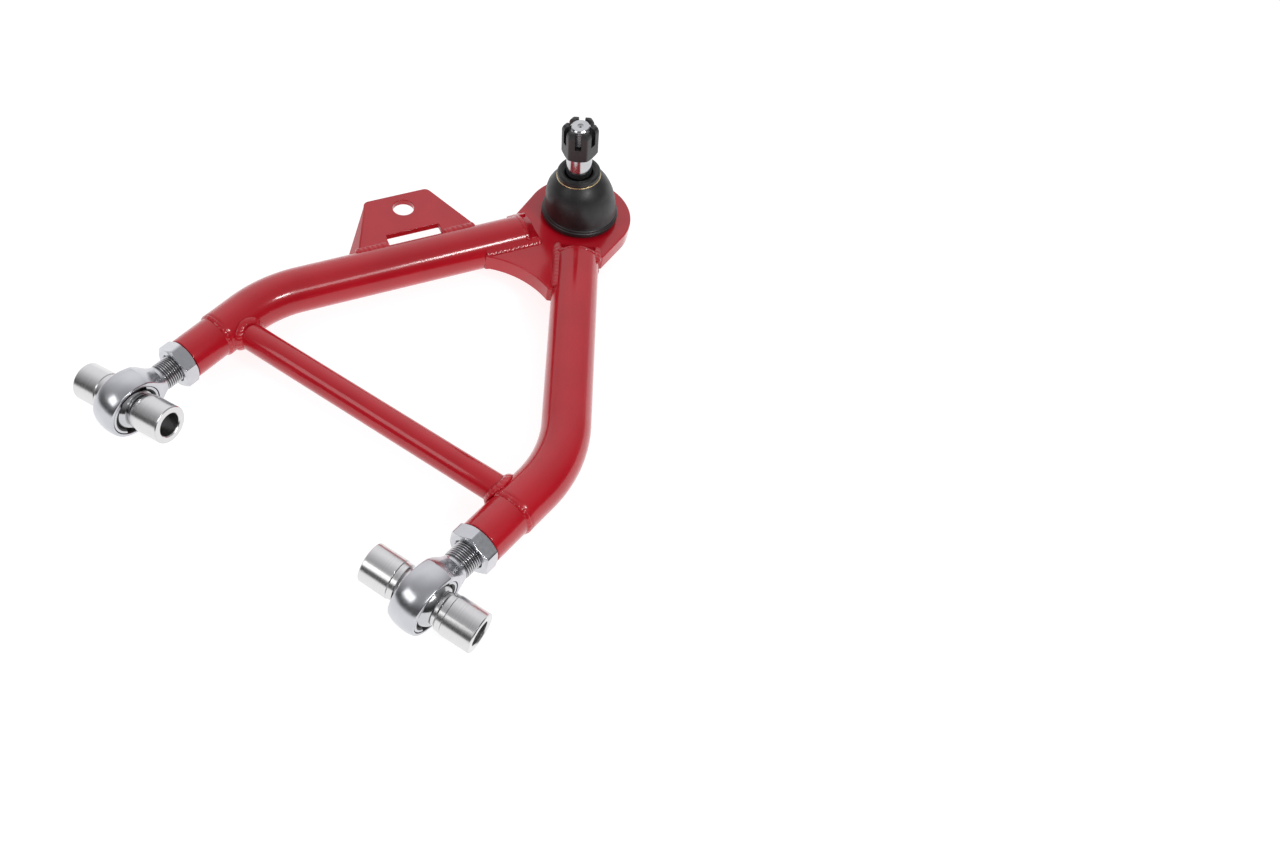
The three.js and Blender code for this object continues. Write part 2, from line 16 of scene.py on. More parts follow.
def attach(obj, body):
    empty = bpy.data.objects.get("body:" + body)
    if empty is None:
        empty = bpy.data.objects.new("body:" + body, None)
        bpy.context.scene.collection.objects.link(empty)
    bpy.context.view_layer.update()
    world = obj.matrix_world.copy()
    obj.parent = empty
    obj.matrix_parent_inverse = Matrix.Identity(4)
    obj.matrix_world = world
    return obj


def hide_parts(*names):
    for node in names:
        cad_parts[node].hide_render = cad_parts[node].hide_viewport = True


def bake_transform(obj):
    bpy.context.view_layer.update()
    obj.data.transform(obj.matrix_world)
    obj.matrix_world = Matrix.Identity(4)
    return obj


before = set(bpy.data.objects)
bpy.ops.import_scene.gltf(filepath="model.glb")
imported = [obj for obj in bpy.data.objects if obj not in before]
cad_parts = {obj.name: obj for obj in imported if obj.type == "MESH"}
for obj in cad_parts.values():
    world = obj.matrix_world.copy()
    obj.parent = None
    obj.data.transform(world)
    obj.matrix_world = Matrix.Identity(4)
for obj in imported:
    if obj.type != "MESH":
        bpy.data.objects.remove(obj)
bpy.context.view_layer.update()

# ---- dimensions shared with the CAD source, in millimetres ----
MM = 0.001
SHIFT = (-165.7666, -117.6586, 0)  # puts the middle of the part's base at the origin
PLANE_Z = 22.225

TUBE_R = 15.875
TUBE_WALL = 3.05
BEND_R = 88.9
BRACE_R = 9.525
BRACE_FOOT = Vector((85.6, -4))
BRACE_HEAD = Vector((89.8, 214))

ADAPTER_R = 14.7
ADAPTER_FACE = 49
ADAPTER_WELD = 77.5
TAPPED_R = 9.85
NUT_GAP = 0.3
NUT_THICK = 10.6
NUT_FLATS = 28.6

THREAD_R = 9.525
SHANK_END = 73
HEAD_R = 22.225
HEAD_HALF = 9.6
HEAD_BORE_R = 18.55
NECK_END = 27
RACE_R = 18.25
RACE_HALF = 9.2
RACE_SEAT_R = 17.15
RACE_SEAT_HALF = 8.2
RACE_LIP_R = 16.4
SLOT_HALF = 10.6
SLOT_REACH = 7
SLOT_RADIAL = 3
SLOT_CENTRE = 17.5
BALL_R = 16.67
BALL_HALF = 11.1
BALL_BORE_R = 9.85
SPACER_R = 12.9
SPACER_BORE_R = 8
SPACER_SLEEVE_R = 9.5
SPACER_END = 38.6

PLATE_T = 12.7
EYE = Vector((316.6, 84.6))
EYE_R = 37.6
EYE_BORE_R = 22.3
WEB_ARC = Vector((184.1, 90))
WEB_ARC_R = 62

PIVOT_Z = 17
STUD_BALL_R = 13
STUD_THREAD_R = 7.14
STUD_TOP = 111.6
LEAN = math.radians(5.8)
LEAN_HEADING = math.radians(126)
CASTLE_FLATS = 22.2
CASTLE_SEAT_R = 9.35
CASTLE_BASE = 88.2
CASTLE_TOP = 111.4
CASTLE_TURN = math.radians(-7)
SLOT_DEPTH = 12.6
SLOT_W = 4.4
BOOT_FIXED_Z = 34
BOOT_CARRIED_Z = 60
WIRE_RING_R = 14.95
WIRE_RING_Z = 67.4
WIRE_R = 0.55

BRACKET_ORIGIN = (150, 200.3)
BRACKET_T = 4.76
BRACKET_TOP = 12
LINK_HOLE = (81.1, 43.4, 7.75)
NOTCH_START = 60
NOTCH_END = 100
NOTCH_EDGE = 20.4
FLANGE_SLOPE = math.radians(45)
FLANGE_FLARE = 0.245

# tilt is how far the bore's front end is raised
PIVOTS = {
    "a": {"at": (0, 0), "heading": math.radians(-7.4), "tilt": 0.0},
    "b": {"at": (0, 233.8), "heading": math.radians(-6.8), "tilt": math.radians(9.5)},
}
LEG_ENDS = {
    "a": {"at": (279.8, 64.4), "heading": math.radians(28.05)},
    "b": {"at": (277.4, 108.6), "heading": math.radians(-35.73)},
}

# ---- threads, which only the visual model has ----
SHANK_PITCH = 25.4 / 16
STUD_PITCH = 25.4 / 18
THREAD_DEPTH = 0.61  # as a share of the pitch


# ---- places ----
def moved(x, y, z=0.0):
    """A shift, given in millimetres."""
    return Matrix.Translation(Vector((x, y, z)) * MM)


def turned(angle, axis):
    return Matrix.Rotation(angle, 4, axis)


ALONG_X = turned(math.pi / 2, "Y")
ALONG_Y = turned(-math.pi / 2, "X")
ARM = moved(*SHIFT)


def pivot_place(letter):
    """The centre of a rod end's ball."""
    x, y = PIVOTS[letter]["at"]
    return ARM @ moved(x, y, PLANE_Z)


def shank_place(letter):
    """X runs along the shank towards the arm, and Y along the bore."""
    return pivot_place(letter) @ turned(PIVOTS[letter]["heading"], "Z")


def bore_place(letter):
    """Y runs along the ball's bore."""
    return pivot_place(letter) @ turned(-PIVOTS[letter]["tilt"], "X")


def leg_end_place(letter):
    """Where a leg's axis ends over the plate, with X along it."""
    x, y = LEG_ENDS[letter]["at"]
    return ARM @ moved(x, y, PLANE_Z) @ turned(LEG_ENDS[letter]["heading"], "Z")


# PLANE is the tubes' plane and JOINT the floor below the ball joint. STUD leans with the stud.
# BRACKET has X along leg B and Y away from it.
PLANE = ARM @ moved(0, 0, PLANE_Z)
JOINT = ARM @ moved(EYE.x, EYE.y)
LEAN_AXIS = Vector((-math.sin(LEAN_HEADING), math.cos(LEAN_HEADING), 0))
STUD = JOINT @ moved(0, 0, PIVOT_Z) @ Matrix.Rotation(LEAN, 4, LEAN_AXIS) @ moved(0, 0, -PIVOT_Z)
BRACKET = ARM @ moved(*BRACKET_ORIGIN, PLANE_Z) @ turned(LEG_ENDS["b"]["heading"], "Z")


# ---- mesh helpers ----
def rounded(outline, steps=4):
    """An outline of (x, y) or (x, y, fillet) points, with its filleted corners turned into arcs."""
    longest_reach = 0.48
    points = []
    for i, corner in enumerate(outline):
        here = Vector(corner[:2])
        fillet = corner[2] if len(corner) > 2 else 0
        if fillet <= 0:
            points.append(here)
            continue
        back = Vector(outline[i - 1][:2]) - here
        ahead = Vector(outline[(i + 1) % len(outline)][:2]) - here
        half = back.angle(ahead) / 2
        reach = min(fillet / math.tan(half), longest_reach * back.length, longest_reach * ahead.length)
        start = here + back.normalized() * reach
        end = here + ahead.normalized() * reach
        for k in range(steps + 1):
            t = k / steps
            points.append(start * (1 - t) ** 2 + here * 2 * t * (1 - t) + end * t**2)
    return points


def circle_points(radius, sides, centre=(0, 0)):
    """Points round a circle, as (x, y)."""
    points = []
    for j in range(sides):
        angle = 2 * math.pi * j / sides
        points.append((centre[0] + radius * math.cos(angle), centre[1] + radius * math.sin(angle)))
    return points


def level_ring(radius, height, sides):
    """Points round a level circle about Z."""
    return [(x, y, height) for x, y in circle_points(radius, sides)]


def arc(radius, centre, start, end, steps):
    """A profile's arc from one angle to another, about a point on the axis at the height centre."""
    points = []
    for i in range(steps + 1):
        angle = start + (end - start) * i / steps
        points.append((radius * math.cos(angle), centre + radius * math.sin(angle)))
    return points


def loops(rings, row_loop=False, caps=False):
    """A mesh over equally long closed rows of points. row_loop joins the last row to the first."""
    mesh = bmesh.new()
    rows = [[mesh.verts.new(p) for p in ring] for ring in rings]
    count = len(rows[0])
    for i in range(len(rows) if row_loop else len(rows) - 1):
        above, below = rows[i], rows[(i + 1) % len(rows)]
        for j in range(count):
            k = (j + 1) % count
            mesh.faces.new((above[j], above[k], below[k], below[j]))
    if caps:
        mesh.faces.new(rows[0])
        mesh.faces.new(reversed(rows[-1]))
    bmesh.ops.recalc_face_normals(mesh, faces=mesh.faces)
    return mesh


def revolve(outline, sides=96):
    """A closed outline of (radius, height) points turned about Z. A point on the axis makes a pole."""
    rings = []
    for j in range(sides):
        angle = 2 * math.pi * j / sides
        rings.append([(r * math.cos(angle), r * math.sin(angle), h) for r, h in outline])
    mesh = loops(rings, row_loop=True)
    bmesh.ops.remove_doubles(mesh, verts=mesh.verts, dist=1e-5)
    bmesh.ops.dissolve_degenerate(mesh, edges=mesh.edges, dist=1e-6)
    stray = [e for e in mesh.edges if not e.link_faces]
    bmesh.ops.delete(mesh, geom=stray, context="EDGES")
    bmesh.ops.recalc_face_normals(mesh, faces=mesh.faces)
    return mesh


def mesh_data(name, mesh):
    """A Blender mesh made from a bmesh, which is freed."""
    data = bpy.data.meshes.new(name)
    mesh.to_mesh(data)
    mesh.free()
    return data


def add_object(name, data):
    made = bpy.data.objects.new(name, data)
    bpy.context.scene.collection.objects.link(made)
    return made


def evaluated_mesh(made):
    """The mesh that an object comes to, with its modifiers applied or its curve filled."""
    bpy.context.view_layer.update()
    evaluated = made.evaluated_get(bpy.context.evaluated_depsgraph_get())
    return bpy.data.meshes.new_from_object(evaluated)


def sheet_metal(outline, holes, thickness, edge):
    """A flat plate from -thickness/2 to thickness/2 with its edges rounded."""
    curve = bpy.data.curves.new("outline", "CURVE")
    curve.dimensions = "2D"
    curve.fill_mode = "BOTH"
    curve.extrude = thickness / 2 - edge
    curve.bevel_depth = edge
    curve.bevel_resolution = 3
    curve.offset = -edge
    for points in [outline, *holes]:
        spline = curve.splines.new("POLY")
        spline.points.add(len(points) - 1)
        for target, point in zip(spline.points, points):
            target.co = (point[0], point[1], 0, 1)
        spline.use_cyclic_u = True
    carrier = add_object("outline", curve)
    flat = evaluated_mesh(carrier)
    bpy.data.objects.remove(carrier)
    mesh = bmesh.new()
    mesh.from_mesh(flat)
    bpy.data.meshes.remove(flat)
    bmesh.ops.remove_doubles(mesh, verts=mesh.verts, dist=1e-4)
    bmesh.ops.recalc_face_normals(mesh, faces=mesh.faces)
    return mesh


def together(*parts):
    """One mesh of several, each a bmesh or a (bmesh, matrix in millimetres) pair."""
    whole = bmesh.new()
    for part in parts:
        mesh, matrix = part if isinstance(part, tuple) else (part, Matrix.Identity(4))
        mesh.transform(matrix)
        carrier = mesh_data("part", mesh)
        whole.from_mesh(carrier)
        bpy.data.meshes.remove(carrier)
    return whole


def piece(name, mesh, place, body, material, stands_for=(), weighted=True):
    """Makes the object from a mesh in millimetres, puts it in place and lets it ride on its body."""
    mesh.transform(Matrix.Scale(MM, 4))
    data = mesh_data(name, mesh)
    data.polygons.foreach_set("use_smooth", [True] * len(data.polygons))
    made = add_object(name, data)
    made.matrix_world = place
    data.materials.append(material)
    if weighted:
        normals = made.modifiers.new("weighted", "WEIGHTED_NORMAL")
        normals.weight = 100
        normals.keep_sharp = True
    if body:
        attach(made, body)
    if stands_for:
        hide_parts(*stands_for)
    return made


def carve(target, material, *tools):
    """Cuts closed tool meshes, in millimetres in the target's own frame, out of the target."""
    normals = target.modifiers["weighted"]
    normals.show_viewport = False
    for mesh in tools:
        mesh.transform(Matrix.Scale(MM, 4))
        data = mesh_data("tool", mesh)
        data.materials.append(material)
        tool = add_object("tool", data)
        tool.matrix_world = target.matrix_world
        cutter = target.modifiers.new("cut", "BOOLEAN")
        cutter.operation = "DIFFERENCE"
        cutter.solver = "EXACT"
        cutter.material_mode = "TRANSFER"
        cutter.object = tool
        whole = target.data
        target.data = evaluated_mesh(target)
        target.modifiers.remove(cutter)
        bpy.data.meshes.remove(whole)
        bpy.data.objects.remove(tool)
    normals.show_viewport = True


def box_mesh(size, centre):
    """A box with its sides along the axes."""
    mesh = bmesh.new()
    bmesh.ops.create_cube(mesh, size=1)
    mesh.transform(Matrix.Translation(centre) @ Matrix.Diagonal((*size, 1)))
    return mesh


# ---- materials ----
class Nodes:
    """A material being wired: short calls for the few nodes these finishes use."""

    def __init__(self, name):
        self.material = bpy.data.materials.new(name)
        self.material.use_nodes = True
        self.tree = self.material.node_tree
        self.shader = self.tree.nodes["Principled BSDF"]
        self.place = self.tree.nodes.new("ShaderNodeTexCoord").outputs["Object"]

    def set(self, **values):
        for key, value in values.items():
            self.shader.inputs[key.replace("_", " ")].default_value = value

    def noise(self, scale, detail=3.0, roughness=0.5, vector=None, dimensions="3D"):
        node = self.tree.nodes.new("ShaderNodeTexNoise")
        node.noise_dimensions = dimensions
        node.inputs["Scale"].default_value = scale
        node.inputs["Detail"].default_value = detail
        node.inputs["Roughness"].default_value = roughness
        socket = "W" if dimensions == "1D" else "Vector"
        self.tree.links.new(vector or self.place, node.inputs[socket])
        return node.outputs["Fac"]

    def ramp(self, factor, stops):
        node = self.tree.nodes.new("ShaderNodeValToRGB")
        node.color_ramp.elements[0].position = stops[0][0]
        node.color_ramp.elements[1].position = stops[-1][0]
        for position, _ in stops[1:-1]:
            node.color_ramp.elements.new(position)
        for element, (_, colour) in zip(node.color_ramp.elements, stops):
            element.color = (*colour, 1)
        self.tree.links.new(factor, node.inputs["Fac"])
        return node.outputs["Color"]

    def spread(self, factor, low, high, low_in=0.3, high_in=0.7):
        """Maps a value, by default a noise that stays near its middle, to a range."""
        node = self.tree.nodes.new("ShaderNodeMapRange")
        node.inputs["From Min"].default_value = low_in
        node.inputs["From Max"].default_value = high_in
        node.inputs["To Min"].default_value = low
        node.inputs["To Max"].default_value = high
        self.tree.links.new(factor, node.inputs["Value"])
        return node.outputs["Result"]

    def tint(self, factor, dark, light, reach=0.2):
        """Colours the surface from dark to light as a factor passes its middle."""
        self.link(self.ramp(factor, [(0.5 - reach, dark), (0.5 + reach, light)]), "Base Color")

    def rough(self, factor, low, high, **limits):
        self.link(self.spread(factor, low, high, **limits), "Roughness")

    def about_axis(self):
        """The distance from the piece's own Z axis, and the height along it."""
        parts = self.tree.nodes.new("ShaderNodeSeparateXYZ")
        self.tree.links.new(self.place, parts.inputs["Vector"])
        x, y, height = parts.outputs
        squares = self.math("ADD", self.math("MULTIPLY", x, x), self.math("MULTIPLY", y, y))
        return self.math("SQRT", squares), height

    def math(self, operation, a, b=None):
        node = self.tree.nodes.new("ShaderNodeMath")
        node.operation = operation
        for socket, value in zip(node.inputs, (a, b)):
            if value is None:
                continue
            if isinstance(value, (int, float)):
                socket.default_value = value
            else:
                self.tree.links.new(value, socket)
        return node.outputs["Value"]

    def bump(self, height, strength, distance, after=None):
        node = self.tree.nodes.new("ShaderNodeBump")
        node.inputs["Strength"].default_value = strength
        node.inputs["Distance"].default_value = distance
        self.tree.links.new(height, node.inputs["Height"])
        if after is not None:
            self.tree.links.new(after, node.inputs["Normal"])
        return node.outputs["Normal"]

    def link(self, output, name):
        self.tree.links.new(output, self.shader.inputs[name])


def powder_coat():
    n = Nodes("red_powder_coat")
    n.tint(n.noise(35, 4), (0.5, 0.005, 0.0155), (0.555, 0.007, 0.019), reach=0.15)
    n.rough(n.noise(260, 2), 0.3, 0.4)
    peel = n.noise(230, 2, 0.4)
    n.link(n.bump(peel, 0.12, 0.0001), "Normal")
    n.link(n.bump(peel, 0.08, 0.0001), "Coat Normal")
    n.set(IOR=1.45, Specular_IOR_Level=0.12, Coat_Weight=1.0, Coat_Roughness=0.14, Coat_IOR=1.5)
    return n.material


def polished_steel():
    n = Nodes("polished_steel")
    n.tint(n.noise(60, 5), (0.54, 0.545, 0.575), (0.62, 0.625, 0.655))
    n.rough(n.noise(300, 4, 0.5), 0.21, 0.27)
    n.link(n.bump(n.noise(900, 3, 0.6), 0.04, 0.00004), "Normal")
    n.set(Metallic=1.0)
    return n.material


def ground_steel():
    n = Nodes("ground_steel")
    n.tint(n.noise(120, 4), (0.5, 0.505, 0.52), (0.57, 0.575, 0.59))
    n.rough(n.noise(700, 4), 0.1, 0.16)
    n.set(Metallic=1.0)
    return n.material


def thread_steel_painted_root_shade(name, radius, pitch):
    """Painted shade: the thread's roots are coloured dark and its crests bright, told apart by their distance
    from the rod's axis.
    """
    n = Nodes(name)
    distance, _ = n.about_axis()
    root = radius - THREAD_DEPTH * pitch
    depth = n.spread(distance, 0, 1, low_in=root * MM, high_in=radius * MM)
    mottle = n.math("MULTIPLY", n.math("SUBTRACT", n.noise(500, 3), 0.5), 0.25)
    painted_root_shade = n.math("ADD", depth, mottle)
    # painted shade: near black in the thread's roots, steel grey on its crests
    stops = [(0.0, (0.1, 0.1, 0.105)), (0.35, (0.36, 0.36, 0.375)), (1.0, (0.66, 0.66, 0.68))]
    n.link(n.ramp(painted_root_shade, stops), "Base Color")
    n.rough(depth, 0.4, 0.2, low_in=0, high_in=1)
    n.set(Metallic=1.0)
    return n.material


def zinc_plate():
    n = Nodes("zinc_plate")
    n.tint(n.noise(140, 5), (0.56, 0.57, 0.6), (0.62, 0.63, 0.66), reach=0.25)
    n.rough(n.noise(500, 4, 0.5), 0.15, 0.22)
    n.link(n.bump(n.noise(260, 2, 0.5), 0.04, 0.00008), "Normal")
    n.set(Metallic=1.0)
    return n.material


def turned_aluminium():
    """Lathe marks run round the piece's own Z axis, on its side and on its faces."""
    n = Nodes("machined_aluminium")
    distance, height = n.about_axis()
    along = n.math("ADD", height, distance)
    marks = n.noise(5200, 2, 0.6, along, "1D")
    bands = n.noise(1900, 3, 0.6, along, "1D")
    n.tint(bands, (0.66, 0.655, 0.66), (0.72, 0.715, 0.72))
    n.rough(marks, 0.2, 0.28)
    n.link(n.bump(marks, 0.05, 0.00002), "Normal")
    n.set(Metallic=1.0)
    return n.material


def black_oxide():
    n = Nodes("black_oxide")
    n.tint(n.noise(220, 5), (0.008, 0.008, 0.009), (0.015, 0.0145, 0.015))
    n.rough(n.noise(900, 5, 0.6), 0.34, 0.5)
    n.link(n.bump(n.noise(1600, 4, 0.6), 0.22, 0.0001), "Normal")
    n.set(Metallic=0.0, IOR=1.6)
    return n.material


def moulded_rubber():
    n = Nodes("boot_rubber")
    n.tint(n.noise(70, 5), (0.011, 0.011, 0.012), (0.018, 0.018, 0.0195))
    n.rough(n.noise(160, 5, 0.6), 0.34, 0.5)
    fine = n.bump(n.noise(1400, 3), 0.12, 0.0001)
    n.link(n.bump(n.noise(60, 3), 0.25, 0.0006, fine), "Normal")
    n.set(IOR=1.52)
    return n.material


def gold_wire():
    n = Nodes("gold_wire")
    n.tint(n.noise(400, 3), (0.66, 0.5, 0.26), (0.8, 0.64, 0.38))
    n.rough(n.noise(900, 3), 0.16, 0.3)
    n.set(Metallic=1.0)
    return n.material


def polymer():
    n = Nodes("bearing_polymer")
    n.tint(n.noise(300, 4), (0.72, 0.69, 0.6), (0.8, 0.78, 0.7))
    n.rough(n.noise(700, 4), 0.45, 0.6)
    n.set(IOR=1.5)
    return n.material


def pale_floor():
    """It glows a little, so that it is as white as the backdrop."""
    n = Nodes("pale_floor")
    n.tint(n.noise(3, 3), (0.35, 0.35, 0.354), (0.37, 0.37, 0.374))
    n.set(Roughness=0.8, Emission_Color=(1, 1, 1, 1), Emission_Strength=0.84)
    return n.material


RED = powder_coat()
STEEL = polished_steel()
GROUND = ground_steel()
# both thread steels carry painted shade in their thread roots
SHANK_STEEL = thread_steel_painted_root_shade("shank_thread_steel", THREAD_R, SHANK_PITCH)
STUD_STEEL = thread_steel_painted_root_shade("stud_thread_steel", STUD_THREAD_R, STUD_PITCH)
ZINC = zinc_plate()
ALUMINIUM = turned_aluminium()
BLACK = black_oxide()
RUBBER = moulded_rubber()
GOLD = gold_wire()
POLYMER = polymer()
BLACK_SLOT = "black_steel"


def coated(name, mesh, place, stands_for=(), weighted=True):
    """A piece of the welded arm, in its red coat."""
    piece(name, mesh, place, "arm", RED, stands_for, weighted)


# ---- weld beads ----
RIPPLE_PITCH = 3.6  # the length of one scale
STATION = 0.42  # from one cross-section of a bead to the next
CROWN_POINTS = 11
CHEVRON = 0.45  # how far a scale's middle lags behind its edges, in scales
VALLEY = 0.5  # the height left between two scales, as a share
PINCH = 0.07  # the width lost between two scales, as a share
ARCH_POWER = 0.8
UNEVEN_HEIGHT = 0.12
UNEVEN_WIDTH = 0.05
BLUNT_END = 0.12  # how full a bead is at its very ends
FOOT = 0.45  # half the width of a bead's buried foot, as a share of its width
EDGE_DROP = 0.02


def scallop(phase):
    """One convex scale with a sharp valley at each end."""
    return math.sqrt(max(math.sin(math.pi * (phase % 1.0)), 0.0))


def bead(path, width, height, seed, loop=False, sunk=1.5, taper=2.5):
    """A weld bead along a path of (point, crown direction) pairs, with overlapping scales."""
    draw = random.Random(seed)
    points = [Vector(p) for p, _ in path]
    crowns = [Vector(c).normalized() for _, c in path]
    if loop:
        points.append(points[0])
        crowns.append(crowns[0])
    lengths = [0.0]
    for a, b in zip(points, points[1:]):
        lengths.append(lengths[-1] + (b - a).length)
    total = lengths[-1]
    scales = max(3, round(total / RIPPLE_PITCH))
    pitch = total / scales
    wobble = [draw.uniform(-1, 1) for _ in range(scales + 2)]
    stations = max(8, round(total / STATION))
    tiny = 1e-9
    rings = []
    for i in range(stations if loop else stations + 1):
        s = total * i / stations
        k = max(j for j, length in enumerate(lengths[:-1]) if length <= s + tiny)
        t = (s - lengths[k]) / max(lengths[k + 1] - lengths[k], tiny)
        at = points[k].lerp(points[k + 1], t)
        crown = crowns[k].lerp(crowns[k + 1], t).normalized()
        along = (points[k + 1] - points[k]).normalized()
        across = along.cross(crown).normalized()
        crown = across.cross(along).normalized()
        fullness = 1.0
        if not loop:
            fullness = min(1.0, min(s, total - s) / taper + BLUNT_END)
            fullness = math.sqrt(max(1 - (1 - fullness) ** 2, 0.0))
        scale = s / pitch
        here = wobble[int(scale) % scales]
        after = wobble[(int(scale) + 1) % scales]
        drift = here + (after - here) * (scale % 1.0)
        ring = []
        for j in range(CROWN_POINTS):
            u = -1 + 2 * j / (CROWN_POINTS - 1)
            rise = scallop((s + CHEVRON * pitch * (u * u - 1)) / pitch)
            arch = (1 - u * u) ** ARCH_POWER
            lift = height * arch * (VALLEY + (1 - VALLEY) * rise) * (1 + UNEVEN_HEIGHT * drift)
            side = u * width / 2 * (1 - PINCH + PINCH * rise) * (1 + UNEVEN_WIDTH * drift)
            ring.append(at + across * side * fullness + crown * (lift * fullness - EDGE_DROP))
        foot = across * (FOOT * width * fullness)
        root = at - crown * sunk * fullness
        ring += [root + foot, root - foot]
        rings.append(ring)
    return loops(rings, row_loop=loop, caps=not loop)


def ring_path(radius, x, steps=120):
    """A circle about the X axis, with its crown outwards and tipped back along X."""
    tipped_back = Vector((-0.43, 0, 0))
    path = []
    for y, z in circle_points(1, steps):
        out = Vector((0, y, z))
        path.append((Vector((x, 0, 0)) + out * radius, out * 0.9 + tipped_back))
    return path


# ---- rod ends ----
HEAD_FALL = 1.75  # how much smaller the head is at its faces than at its middle
HEAD_FALL_POWER = 2.4
NECK_STATIONS = (12, 17, 21, 24.6, 27.5)
NECK_RADII = (19, 15.2, 12, 9.75, 8.9)
NECK_ROOT = 6
NECK_HALF = 9.1
CHEEK_RADII = (20.5, 22.5)  # between these the faces step back to the neck's width
NECK_BLEND = 3.5
EDGE_BLEND = 0.7
BORE_CHAMFER = 0.25
BORE_EDGE = 0.12


def smooth_min(a, b, k):
    """The smaller of two values, blended where they differ by less than k."""
    h = np.clip(0.5 + 0.5 * (b - a) / k, 0, 1)
    return b * (1 - h) + a * h - k * h * (1 - h)


def smooth_max(a, b, k):
    return -smooth_min(-a, -b, k)


def forged_shape(x, y, z):
    """Below zero inside the forging, its bore ignored. X runs along the neck and Y along the bore."""
    radius = np.hypot(x, z)
    barrel = radius - (HEAD_R - HEAD_FALL * (np.abs(y) / HEAD_HALF) ** HEAD_FALL_POWER)
    neck = np.hypot(y, z) - np.interp(x, NECK_STATIONS, NECK_RADII)
    outside = smooth_min(barrel, np.maximum(neck, NECK_ROOT - x), NECK_BLEND)
    half = np.interp(radius, CHEEK_RADII, (HEAD_HALF, NECK_HALF))
    return np.maximum(smooth_max(outside, np.abs(y) - half, EDGE_BLEND), x - NECK_END)


def forged_head():
    """The head and neck: the outermost point of the forged shape in each direction from the ball centre."""
    turn = np.linspace(-1, 1, 241)[:-1]
    theta = math.pi * (0.45 * turn + 0.55 * turn**3)  # closest together at the neck
    reach = math.atan(HEAD_HALF / (HEAD_BORE_R + BORE_EDGE))
    lift = np.linspace(-1, 1, 61)
    phi = reach * (0.75 * lift + 0.25 * np.sin(lift * math.pi / 2))  # and at the faces
    t, p = np.meshgrid(theta, phi, indexing="ij")
    dx = np.cos(p) * np.cos(t)
    dy = np.sin(p)
    dz = np.cos(p) * np.sin(t)
    near = np.full(t.shape, 15.0)
    far = np.full(t.shape, 60.0)
    for _ in range(40):
        middle = (near + far) / 2
        inside = forged_shape(middle * dx, middle * dy, middle * dz) < 0
        near = np.where(inside, middle, near)
        far = np.where(inside, far, middle)
    skin = np.stack((near * dx, near * dy, near * dz), axis=-1)
    bore_y = HEAD_HALF - BORE_CHAMFER
    rings = []
    for row, angle in zip(skin, theta):
        x, z = HEAD_BORE_R * math.cos(angle), HEAD_BORE_R * math.sin(angle)
        rings.append([*row, (x, bore_y, z), (x, 0, z), (x, -bore_y, z)])
    mesh = loops(rings, row_loop=True)
    # Painted shade: the bore's faces take the second, black material, so the gap round the race reads dark.
    for face in mesh.faces:
        middle = face.calc_center_median()
        if math.hypot(middle.x, middle.z) < HEAD_BORE_R + 0.05:
            face.material_index = 1
    return mesh


def threaded_rod(radius, pitch, start, end, plain_end, sides=96, per_pitch=11, lead=1.6):
    """A rod along Z with a right-hand thread from start to end, and plain from there to plain_end."""
    crest_flat = 0.16
    flank_share = 0.62
    run_out = 0.2
    depth = THREAD_DEPTH * pitch
    steps = round((end - start) / pitch * per_pitch)
    rings = []
    for i in range(steps + 1):
        height = start + (end - start) * i / steps
        fade = min(1.0, max(0.0, (height - start) / lead))
        ring = []
        for j in range(sides):
            angle = 2 * math.pi * j / sides
            phase = (height / pitch - angle / (2 * math.pi)) % 1.0
            flank = min(max((abs(phase - 0.5) * 2 - crest_flat) / flank_share, 0.0), 1.0)
            r = (radius - depth * flank) * fade + (radius - depth) * (1 - fade)
            ring.append((r * math.cos(angle), r * math.sin(angle), height))
        rings.append(ring)
    for height in (end + run_out, plain_end):
        rings.append(level_ring(radius - depth, height, sides))
    return loops(rings, caps=True)


def rod_end_body(letter):
    thread_start = NECK_END - 0.6
    thread_end = 60
    relief_start = 22
    relief_end = NECK_END + 0.2
    relief_r = 8.4
    thread = threaded_rod(THREAD_R, SHANK_PITCH, thread_start, thread_end, SHANK_END)
    relief = revolve([(0, relief_start), (relief_r, relief_start), (relief_r, relief_end), (0, relief_end)])
    shank = together(thread, relief)
    place = shank_place(letter)
    body = f"rod_end_{letter}"
    node = f"rod_end_{letter}_body"
    head = piece(f"{body}_head", forged_head(), place, body, STEEL, [node], weighted=False)
    # The black second material is painted shade on the head's bore faces.
    head.data.materials.append(BLACK)
    piece(f"{body}_shank", shank, place @ ALONG_X, body, SHANK_STEEL, weighted=False)


def rod_end_race(letter):
    edge_r = RACE_R - 0.35
    edge = RACE_HALF - 0.4
    lip = math.asin(RACE_SEAT_HALF / RACE_SEAT_R)
    outline = [
        (RACE_LIP_R, RACE_HALF, 0.15), (edge_r, RACE_HALF, 0.3), (RACE_R, edge, 0.2), (RACE_R, -edge, 0.2),
        (edge_r, -RACE_HALF, 0.3), (RACE_LIP_R, -RACE_HALF, 0.15), *arc(RACE_SEAT_R, 0, -lip, lip, 16),
    ]
    mesh = revolve(rounded(outline))
    # Painted shade: the faces inside the lips take the second, black material, dark where the gap to the ball
    # lies.
    for face in mesh.faces:
        middle = face.calc_center_median()
        if math.hypot(middle.x, middle.y) < RACE_LIP_R + 0.1:
            face.material_index = 1
    body = f"rod_end_{letter}"
    place = shank_place(letter) @ ALONG_Y
    race = piece(f"{body}_race_ring", mesh, place, body, STEEL, [f"{body}_race"])
    race.data.materials.append(BLACK)
    size = (2 * SLOT_HALF, 2 * SLOT_REACH, 2 * SLOT_RADIAL)
    slots = [box_mesh(size, (0, sign * SLOT_CENTRE, -RACE_HALF)) for sign in (-1, 1)]
    # The slots' walls take the black material too: painted shade in the loading slots.
    carve(race, BLACK, *slots)


